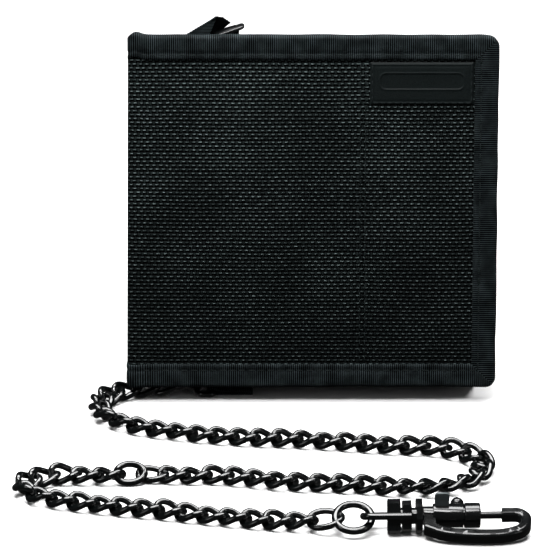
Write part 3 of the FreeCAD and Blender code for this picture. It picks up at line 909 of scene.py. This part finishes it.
def add_spine_binding(name, top):
    """The tape goes on round the spine's end."""
    f = front.at(0, 0, FRONT_H if top else 0.0)
    b = back.at(0, 0, BACK_H if top else 0.0)
    plane = -EDGE_X + 0.3
    reach = 2.4
    corner_f, corner_b = Vector((plane, f.y, f.z)), Vector((plane, b.y, b.z))
    run = (corner_b - corner_f).normalized()
    start = Vector((TAPE_START, f.y, f.z))
    stop = Vector((TAPE_START, b.y, b.z))
    line = [start, start.lerp(corner_f + Vector((reach, 0, 0)), 0.5)]
    for i in range(13):
        line.append(bezier(corner_f + Vector((reach, 0, 0)), corner_f, corner_f + run * reach, i / 12))
    for i in range(1, 30):
        line.append(lerp(corner_f + run * reach, corner_b - run * reach, i / 30))
    for i in range(13):
        line.append(bezier(corner_b - run * reach, corner_b, corner_b + Vector((reach, 0, 0)), i / 12))
    line += [stop.lerp(corner_b + Vector((reach, 0, 0)), 0.5), stop]
    lengths = [0.0]
    for a, c in zip(line, line[1:]):
        lengths.append(lengths[-1] + (c - a).length)
    total = lengths[-1]
    count = int(total / (RIB / 4))
    columns, marks = [], []
    at = 0
    for i in range(count + 1):
        s = total * i / count
        marks.append(s)
        while at + 2 < len(lengths) and lengths[at + 1] < s:
            at += 1
        share = (s - lengths[at]) / max(1e-9, lengths[at + 1] - lengths[at])
        edge = lerp(line[at], line[at + 1], share)
        tangent = (line[at + 1] - line[at]).normalized()
        w = s / total
        into = -lerp(front.up, back.up, w).normalized()
        if not top:
            into = -into
        out = tangent.cross(Vector((0, 0, 1))).normalized() * -1.0
        out = (out - into * out.dot(into)).normalized()
        turn = EDGE_X + TAPE_START
        thick = lerp(COVER_T, 2.0, smooth((min(s, total - s) - turn + 4.0) / 3.0))
        bulge = math.exp(-(((s - turn + 2.6) / 1.9) ** 2))
        bulge += 0.5 * math.exp(-(((total - s - turn + 2.6) / 1.9) ** 2))
        lift = TOP_LIFT + 0.85 * bulge if top else 0.2 * bulge
        edge = edge + Vector((spread_foot(edge.x, 1.0 if top else 0.0), 0, 0))
        columns.append(tape_column(edge + out * (0.3 * bulge), into, out, thick, s, lift=lift))
    tape = Shape()
    tape.grid(columns, loop_rows=True, caps=True, flip=top)
    piece = tape.make(name, tape_cloth)
    mark_ribs(piece, marks, len(columns[0]))
    bend_with_fold(piece)


# ---- stitches ----
def stitch(shape, start, end, out, radius=0.17):
    """One short thread lying on the cloth, its ends going down into it."""
    line = []
    for share, rise in ((0.0, -0.25), (0.12, 0.06), (0.35, 0.13), (0.65, 0.13), (0.88, 0.06), (1.0, -0.25)):
        line.append(lerp(start, end, share) + out * rise)
    shape.tube(line, radius, 6)


def stitch_row(shape, start, end, out, length=2.1, gap=0.75):
    run = end - start
    count = max(1, int(run.length / (length + gap)))
    pitch = run.length / count
    ahead = run.normalized()
    for i in range(count):
        a = start + ahead * (pitch * i + gap / 2)
        stitch(shape, a, a + ahead * (pitch - gap), out)


def add_binding_stitches(cover, name):
    """A row on each face of the tape, along its three sides."""
    rows = Shape()
    left, right = TAPE_START - 5.5, EDGE_X - STITCH_IN
    low, high = STITCH_IN, cover.height - STITCH_IN
    for depth, out in ((STITCH_SUNK, cover.out), (COVER_T - STITCH_SUNK, -cover.out)):
        for x, rise, end_x, end_rise in (
            (left, high, right, high), (right, high, right, low), (left, low, right, low)
        ):
            stitch_row(rows, cover.at(x, depth, rise), cover.at(end_x, depth, end_rise), out)
    piece = rows.make(name, sewing_thread)
    settle(piece, "binding_tape", cover.body)


# ---- label: low and high x, low and high height up the face; its raised bar is generic ----
LABEL = (16.9, 47.6, 86.3, 99.1)
BAR_HEIGHT = 93.4
BAR_REACH = (10.6, 0.6)


def add_label():
    low_x, high_x, low, high = LABEL
    step = 0.16
    columns = []
    across = int((high_x - low_x) / step)
    up = int((high - low) / step)

    def ridge(distance, width):
        return math.exp(-((distance / width) ** 2))

    for i in range(across + 1):
        x = lerp(low_x, high_x, i / across)
        column = []
        for j in range(up + 1):
            z = lerp(low, high, j / up)
            edge = min(x - low_x, high_x - x, z - low, high - z)
            rise = 0.55 * smooth(edge / 0.7) - 0.12 * ridge(edge - 1.15, 0.35)
            dx = max(0.0, abs(x - (low_x + high_x) / 2) - BAR_REACH[0])
            dz = max(0.0, abs(z - BAR_HEIGHT) - BAR_REACH[1])
            bar = math.hypot(dx, dz)
            rise += 0.16 * ridge(bar - 1.9, 0.22) - 0.1 * smooth((1.75 - bar) / 0.3)
            column.append(front.at(x, 0.3 - rise, z))
        columns.append(column)
    patch = Shape()
    patch.grid(columns)
    piece = patch.make("label_satin", label_satin)
    settle(piece, "label", "front_cover", "label_patch")
    rows = Shape()
    inset = 0.65
    a, b, c, d = low_x + inset, high_x - inset, low + inset, high - inset
    for x, z, end_x, end_z in ((a, c, b, c), (a, c, a, d), (b, c, b, d)):
        stitch_row(rows, front.at(x, -0.1, z), front.at(end_x, -0.1, end_z), front.out, 1.5, 0.5)
    piece = rows.make("label_stitches", sewing_thread)
    settle(piece, "label", "front_cover")


def add_front_seam():
    """Two rows of needle holes with sunk thread down the front, where a pocket is sewn behind it."""
    rows = Shape()
    low, high = BINDING_W + 0.4, FRONT_H - BINDING_W - 0.6
    for x in (SEAM_X - 0.75, SEAM_X + 0.75):
        stitch_row(rows, front.at(x, 0.28, low), front.at(x, 0.28, high), front.out, 1.5, 0.9)
    piece = rows.make("front_seam_stitches", sewing_thread)
    settle(piece, "ballistic_nylon", "front_cover")


# ---- the zip's pull and its ribbon ----
ZIP_MIDDLE = 6.945
PULL_PIVOT = (-38.5, 106.0)
PULL_RISE = math.radians(19.3)
GRIP = (9.2, 19.0)       # where it starts and ends along the pull
GRIP_HALF = (2.15, 1.15)


def facet(shape, corners, y_low, y_high, ribs=0.46, rise=0.07):
    """A flat of folded ribbon in the side view's plane, with ribs across it. corners are x, z
    of its lower left, lower right, upper right and upper left; y goes from left to right."""
    a, b, c, d = [Vector((x, 0, z)) for x, z in corners]
    steps = 44
    grid = []
    for i in range(25):
        u = i / 24
        column = []
        for j in range(steps + 1):
            p = lerp(lerp(a, b, u), lerp(d, c, u), j / steps)
            wave = 0.5 - 0.5 * math.cos(math.tau * p.z / ribs)
            p.y = lerp(y_low, y_high, u) - rise * wave + 0.5 * math.sin(math.pi * j / steps) * u * (1 - u)
            column.append(p)
        grid.append(column)
    shape.grid(grid)


def add_pull_ribbon():
    ribbon = Shape()
    facet(ribbon, [(-39.6, 108.6), (-31.1, 108.2), (-28.3, 115.2), (-28.5, 115.1)], 5.9, 6.3)
    facet(ribbon, [(-31.1, 107.9), (-30.0, 107.9), (-26.5, 114.8), (-28.3, 115.2)], 6.35, 6.9, 0.5, 0.03)
    facet(ribbon, [(-30.0, 107.9), (-28.4, 109.6), (-24.3, 113.0), (-26.5, 114.8)], 6.9, 7.5, 0.5, 0.03)
    facet(ribbon, [(-27.6, 108.2), (-22.0, 108.6), (-21.8, 110.9), (-27.4, 109.4)], 8.4, 7.6, 0.5)
    piece = ribbon.make("pull_ribbon", tape_cloth)
    values = []
    side_points = len(ribbon.points) // 4
    for i, point in enumerate(ribbon.points):
        # painted light: the first, front facet's ribs are painted lighter and the folded facets behind it darker,
        # as lit and shaded sides of one tape
        facet_painted_light = 1.15 if i < side_points else 0.45
        values += [point.x, point.y, facet_painted_light * (0.5 - 0.5 * math.cos(math.tau * point.z / 0.46))]
    give_cloth(piece, values)
    thicken(piece, 0.45)
    settle(piece, "binding_tape", "zip_pull", "zip_pull_ribbon")


def add_pull_grip():
    """A flat leaf-shaped grip round the far end of the pull's loop, with a shallow dish in its faces."""
    along = Vector((math.cos(PULL_RISE), 0, math.sin(PULL_RISE)))
    over = Vector((-math.sin(PULL_RISE), 0, math.cos(PULL_RISE)))
    pivot = Vector((PULL_PIVOT[0], ZIP_MIDDLE, PULL_PIVOT[1]))
    rings = []
    start, end = GRIP
    wide, high = GRIP_HALF
    for i in range(37):
        t = math.pi * i / 36
        share = 0.5 - 0.5 * math.cos(t)
        swell = max(0.02, math.sin(t)) ** 0.75
        ring = []
        for k in range(28):
            angle = math.tau * k / 28
            c, d = math.cos(angle), math.sin(angle)
            across = wide * swell * c
            ends = smooth(4 * share) * smooth(4 * (1 - share))
            dish = 0.25 * swell * math.exp(-((across / 0.9) ** 2)) * ends
            up = (high * swell - dish) * d
            ring.append(pivot + along * lerp(start, end, share) + Vector((0, across, 0)) + over * up)
        rings.append(ring)
    grip = Shape()
    grip.grid(rings, loop_rows=True, caps=True)
    piece = grip.make("pull_grip", grip_metal)
    settle(piece, "zip_metal", "zip_pull")


SPRING_TURNS = 5
SPRING_R = 1.15
SPRING_WIRE = 0.12


def add_bolt_spring():
    """The coil behind the bolt, a fixed mesh on the hook; the real spring closes up as the bolt is drawn back."""
    low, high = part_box("bolt_spring")
    slide = [joint for joint in frame["joints"] if joint["name"] == "bolt_slide"][0]
    axis = Vector(slide["axis"]).normalized() * -1.0
    middle = (Vector(low) + Vector(high)) / 2 / MM
    half = (high[0] - low[0]) / 2 / MM - 0.15
    side = axis.cross(Vector((0, 0, 1))).normalized()
    up = side.cross(axis)
    steps = SPRING_TURNS * 20
    line = []
    for i in range(steps + 1):
        angle = math.tau * i / 20
        ring = (side * math.cos(angle) + up * math.sin(angle)) * SPRING_R
        line.append(middle + axis * lerp(-half, half, i / steps) + ring)
    coil = Shape()
    coil.tube(line, SPRING_WIRE, 8)
    piece = coil.make("bolt_spring_coil", spring_metal)
    settle(piece, "spring_steel", "hook", "bolt_spring")
    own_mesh(piece)
    return piece


# ---- the webbing tab that holds the D-ring ----
TAB_BAR = (-30.0, 0.9)   # x and height of the ring's bar, which the tab folds round
TAB_Y = -5.0
TAB_HALF = 2.2
TAB_RIB = 0.7
TAB_SIDES = 20


def add_chain_tab():
    bar_x, bar_z = TAB_BAR
    line = [Vector((-18.0, 0, 0.55)), Vector((-28.6, 0, 0.5))]
    for i in range(1, 12):
        angle = -math.pi / 2 - math.pi * i / 12
        line.append(Vector((bar_x + 1.55 * math.cos(angle), 0, max(0.5, bar_z + 1.5 * math.sin(angle)))))
    line += [Vector((-28.6, 0, 1.75)), Vector((-26.0, 0, 1.45)), Vector((-18.0, 0, 1.45))]
    columns, marks, total = [], [], 0.0
    for a, b in zip(line, line[1:]):
        count = max(1, round((b - a).length / (TAB_RIB / 5)))
        ahead = (b - a).normalized()
        side = Vector((-ahead.z, 0, ahead.x))
        for i in range(count):
            p = lerp(a, b, i / count)
            s = total + (b - a).length * i / count
            bulge = 0.36 + 0.06 * math.cos(math.tau * s / TAB_RIB)
            column = []
            for k in range(TAB_SIDES):
                angle = math.tau * k / TAB_SIDES
                c, d = math.cos(angle), math.sin(angle)
                across = TAB_HALF * math.copysign(abs(c) ** 0.35, c)
                rise = bulge * math.copysign(abs(d) ** 0.6, d)
                column.append(p + Vector((0, TAB_Y + across, 0)) + side * rise)
            columns.append(column)
            marks.append(s)
        total += (b - a).length
    tab = Shape()
    tab.grid(columns, loop_rows=True, caps=True)
    piece = tab.make("webbing_tab", tape_cloth)
    values = []
    for s in marks:
        # the rib height also sets the tape material's painted shade in the grooves
        values += [s, 0.0, 0.5 + 0.5 * math.cos(math.tau * s / TAB_RIB)] * TAB_SIDES
    give_cloth(piece, values)
    settle(piece, "webbing", "back_half", "chain_tab")
    rows = Shape()
    up = Vector((0, 0, 1))
    for y in (TAB_Y - 1.4, TAB_Y + 1.4):
        stitch_row(rows, Vector((-26.6, y, 1.82)), Vector((-18.4, y, 1.82)), up, 1.5, 0.6)
    piece = rows.make("webbing_stitches", sewing_thread)
    settle(piece, "webbing", "back_half")


# ---- linings, card pockets and the pouch ----
PLAY = 0.07


def cloth_panel(name, material, place, across, upward, step, relief, thick, flip=False):
    """A thin sheet over a rectangle. place(x, rise, up) sets a point; relief(x, up) is its rise."""
    columns = round((across[1] - across[0]) / step)
    rows = round((upward[1] - upward[0]) / step)
    grid = []
    for i in range(columns + 1):
        x = lerp(across[0], across[1], i / columns)
        heights = [lerp(upward[0], upward[1], j / rows) for j in range(rows + 1)]
        grid.append([place(x, relief(x, up), up) for up in heights])
    sheet = Shape()
    sheet.grid(grid, flip=flip)
    piece = sheet.make(name, material)
    thicken(piece, thick)
    return piece


def soft(x, up, seed, size=14.0):
    return noise.noise(Vector((x / size, up / size, seed)))


def add_linings():
    def front_rise(x, up):
        return PLAY * (soft(x, up, 1.3) - 0.6)

    def back_rise(x, up):
        return 0.18 * soft(x, up, 4.1)

    piece = cloth_panel(
        "front_lining_cloth", lining_cloth, lambda x, rise, up: front.at(x, 3.0 + rise, up),
        (-53.4, 54.0), (1.0, FRONT_H - 1.0), 1.8, front_rise, 0.32, flip=True,
    )
    settle(piece, "lining", "front_cover", "front_lining")
    piece = cloth_panel(
        "back_lining_cloth", lining_cloth, lambda x, rise, up: back.at(x, 3.0 + rise, up),
        (-53.4, 54.0), (1.0, BACK_H - 1.0), 1.8, back_rise, 0.32,
    )
    settle(piece, "lining", "back_half", "back_lining")


def add_card_pockets():
    stitches = Shape()
    inward = -front.out
    for i in range(3):
        depth = 3.36 + 0.4 * i
        top = 88.0 - 13.0 * i

        def rise(x, up, top=top, i=i):
            hem = 0.1 * smooth((up - top + 3.2) / 0.35) * smooth((top - up) / 0.25 + 0.4)
            sewn = 0.1 * math.exp(-(((up - top + 2.5) / 0.3) ** 2))
            side = 0.08 * smooth((abs(x) - 43.4) / 0.5)
            return PLAY * soft(x, up, 7.7 + i, 9.0) * smooth((45.0 - abs(x)) / 6.0) + hem - sewn + side

        def place(x, up_rise, up, depth=depth, top=top):
            sag = 0.7 * smooth(up / top) * math.cos(math.pi * x / 92.0)
            return front.at(x, depth + up_rise, up - sag)

        piece = cloth_panel(
            f"card_pocket_cloth_{i + 1}", lining_cloth, place, (-46.0, 46.0), (7.6, top), 0.9, rise,
            0.34, flip=True,
        )
        settle(piece, "lining", "front_cover", f"card_pocket_{i + 1}")
        line = [place(-45.0 + 2.0 * k, 0.02, top - 2.5) for k in range(46)]
        for a, b in zip(line, line[1:]):
            stitch(stitches, a + (b - a) * 0.15, a + (b - a) * 0.85, inward, 0.12)
        low = top - 12.5 if i < 2 else 8.5
        for x in (-44.4, 44.4):
            start, end = front.at(x, depth + 0.1, low), front.at(x, depth + 0.1, top - 0.5)
            stitch_row(stitches, start, end, inward, 1.5, 0.5)
    piece = stitches.make("card_pocket_stitches", sewing_thread)
    settle(piece, "lining", "front_cover")


def add_pouch():
    def wall_rise(x, up):
        return 0.16 * soft(x, up, 2.2, 16.0) - 0.1 + 0.14 * smooth((up - 96.0) / 0.4)

    piece = cloth_panel(
        "pouch_wall_cloth", lining_cloth, lambda x, rise, up: front.at(x, 4.85 - rise, up),
        (-50.0, 50.0), (3.0, 99.5), 1.4, wall_rise, 0.5,
    )
    settle(piece, "lining", "back_half", "pouch_front_wall")

    def film_rise(x, up):
        return 0.16 + 0.05 * soft(x, up, 5.5, 20.0)

    piece = cloth_panel(
        "window_sheet", film, lambda x, rise, up: front.at(x, 4.8 - rise, up),
        (-40.0, 46.0), (34.0, 90.0), 2.0, film_rise, 0.12,
    )
    settle(piece, "window_film", "back_half", "id_window")
    add_window_frame()
    add_gusset()

    def divider_rise(x, up):
        return 0.14 * soft(x, up, 8.8, 18.0) + 0.08 * smooth((up - 93.5) / 0.4)

    piece = cloth_panel(
        "divider_cloth", lining_cloth, lambda x, rise, up: Vector((x, 8.3 - rise, up)),
        (-49.0, 49.0), (1.0, 97.0), 2.0, divider_rise, 0.3,
    )
    settle(piece, "lining", "back_half", "pouch_divider")


def add_window_frame():
    """Ribbed tape round the window, its corners mitred, with a row of stitches."""
    low_x, high_x, low, high = -40.0, 46.0, 34.0, 90.0
    corners = [(low_x, low), (high_x, low), (high_x, high), (low_x, high)]
    frame_tape, stitches = Shape(), Shape()
    values = []
    for i in range(4):
        a, b = Vector((*corners[i], 0)), Vector((*corners[(i + 1) % 4], 0))
        ahead = (b - a).normalized()
        inward = Vector((-ahead.y, ahead.x, 0))
        length = (b - a).length
        count = round(length / (RIB / 4))
        grid = []
        for k in range(count + 1):
            s = length * k / count
            rib = 0.5 - 0.5 * math.cos(math.tau * s / RIB)
            column = []
            for j in range(9):
                d = lerp(-1.6, 2.2, j / 8)
                at = max(d, min(length - d, s))
                p = a + ahead * at + inward * d
                edge = min(d + 1.6, 2.2 - d)
                rise = 0.3 * smooth(edge / 0.5) + 0.05 * rib
                column.append(front.at(p.x, 4.8 - rise, p.y))
                # the rib height also sets the tape material's painted shade in the grooves
                values += [s, d, rib]
            grid.append(column)
        frame_tape.grid(grid)
        p, q = a + inward * 1.2 + ahead * 1.5, b + inward * 1.2 - ahead * 1.5
        stitch_row(stitches, front.at(p.x, 4.46, p.y), front.at(q.x, 4.46, q.y), front.out, 1.8, 0.6)
    piece = frame_tape.make("window_frame_tape", tape_cloth)
    give_cloth(piece, values)
    settle(piece, "binding_tape", "back_half")
    piece = stitches.make("window_stitches", sewing_thread)
    settle(piece, "lining", "back_half")


def add_gusset():
    """The pouch's pleated sides and floor: one strip down one side, across and up the other."""
    back_y = 9.35
    foot = front.at(0, 5.3, 3.0)
    top = front.at(0, 5.3, 99.3)

    def low_point(s):
        """Across the floor from the front wall's foot to the back cover."""
        knee = 0.5
        if s < knee:
            return lerp(Vector((0, foot.y, foot.z)), Vector((0, 1.6, 0.1)), s / knee)
        return lerp(Vector((0, 1.6, 0.1)), Vector((0, back_y, 0.1)), (s - knee) / (1 - knee))

    def high_point(s):
        return Vector((0, lerp(top.y, back_y, s), top.z))

    rows = 21
    columns = []
    for side in (-1, 1):
        heights = [k / 48 for k in range(49)]
        for h in reversed(heights) if side < 0 else heights:
            column = []
            for j in range(rows):
                s = j / (rows - 1)
                p = lerp(low_point(s), high_point(s), h)
                uneven = 0.75 + 0.25 * soft(h * 40, s, 3.0, 6.0)
                pleat = 2.0 * math.sin(math.pi * s) ** 1.4 * smooth(h * 3) * uneven
                crease = 0.22 * soft(h * 104, s * 9, 9.0 + side, 3.2) * math.sin(math.pi * s)
                p.x = side * (49.75 - pleat - crease)
                column.append(p)
            columns.append(column)
        if side < 0:
            for k in range(1, 40):
                column = [low_point(j / (rows - 1)) for j in range(rows)]
                for p in column:
                    p.x = lerp(-49.75, 49.75, k / 40)
                    p.z += 0.12 * abs(soft(p.x, p.y, 6.0, 7.0))
                columns.append(column)
    strip = Shape()
    strip.grid(columns, flip=True)
    piece = strip.make("pouch_gusset_cloth", lining_cloth)
    thicken(piece, 0.4)
    settle(piece, "lining", "back_half", "pouch_gusset")


def add_zip_tapes():
    reach = 0.93
    for name, low, high in (("front", 4.5, ZIP_MIDDLE - reach), ("back", ZIP_MIDDLE + reach, 9.4)):
        side = -1 if name == "front" else 1

        def place(x, rise, y):
            return Vector((x, y, 102.2 + rise))

        def relief(x, y, side=side):
            near = (y - ZIP_MIDDLE) * side - reach
            cord = 0.16 * math.exp(-(((near - 0.2) / 0.22) ** 2))
            ribs = 0.02 * math.cos(math.tau * x / 0.8)
            return cord + ribs - 0.1 + 0.08 * soft(x, y, 12.0, 10.0)

        piece = cloth_panel(
            f"zip_tape_{name}_cloth", zip_cloth, place, (-46.0, 46.0), (low, high), 0.2, relief, 0.4,
        )
        settle(piece, "zip_tape", "back_half", f"zip_tape_{name}")


add_camera()
add_studio()
dress_cad()
add_floor()
add_chain(add_bolt_spring())
add_outer_fabric()
add_cover_binding(front, "front_tape", "front_binding")
add_cover_binding(back, "back_tape", "back_binding")
add_spine_binding("spine_tape_top", True)
add_spine_binding("spine_tape_bottom", False)
add_binding_stitches(front, "front_stitches")
add_binding_stitches(back, "back_stitches")
add_label()
add_front_seam()
add_pull_ribbon()
add_pull_grip()
add_chain_tab()
add_linings()
add_card_pockets()
add_pouch()
add_zip_tapes()
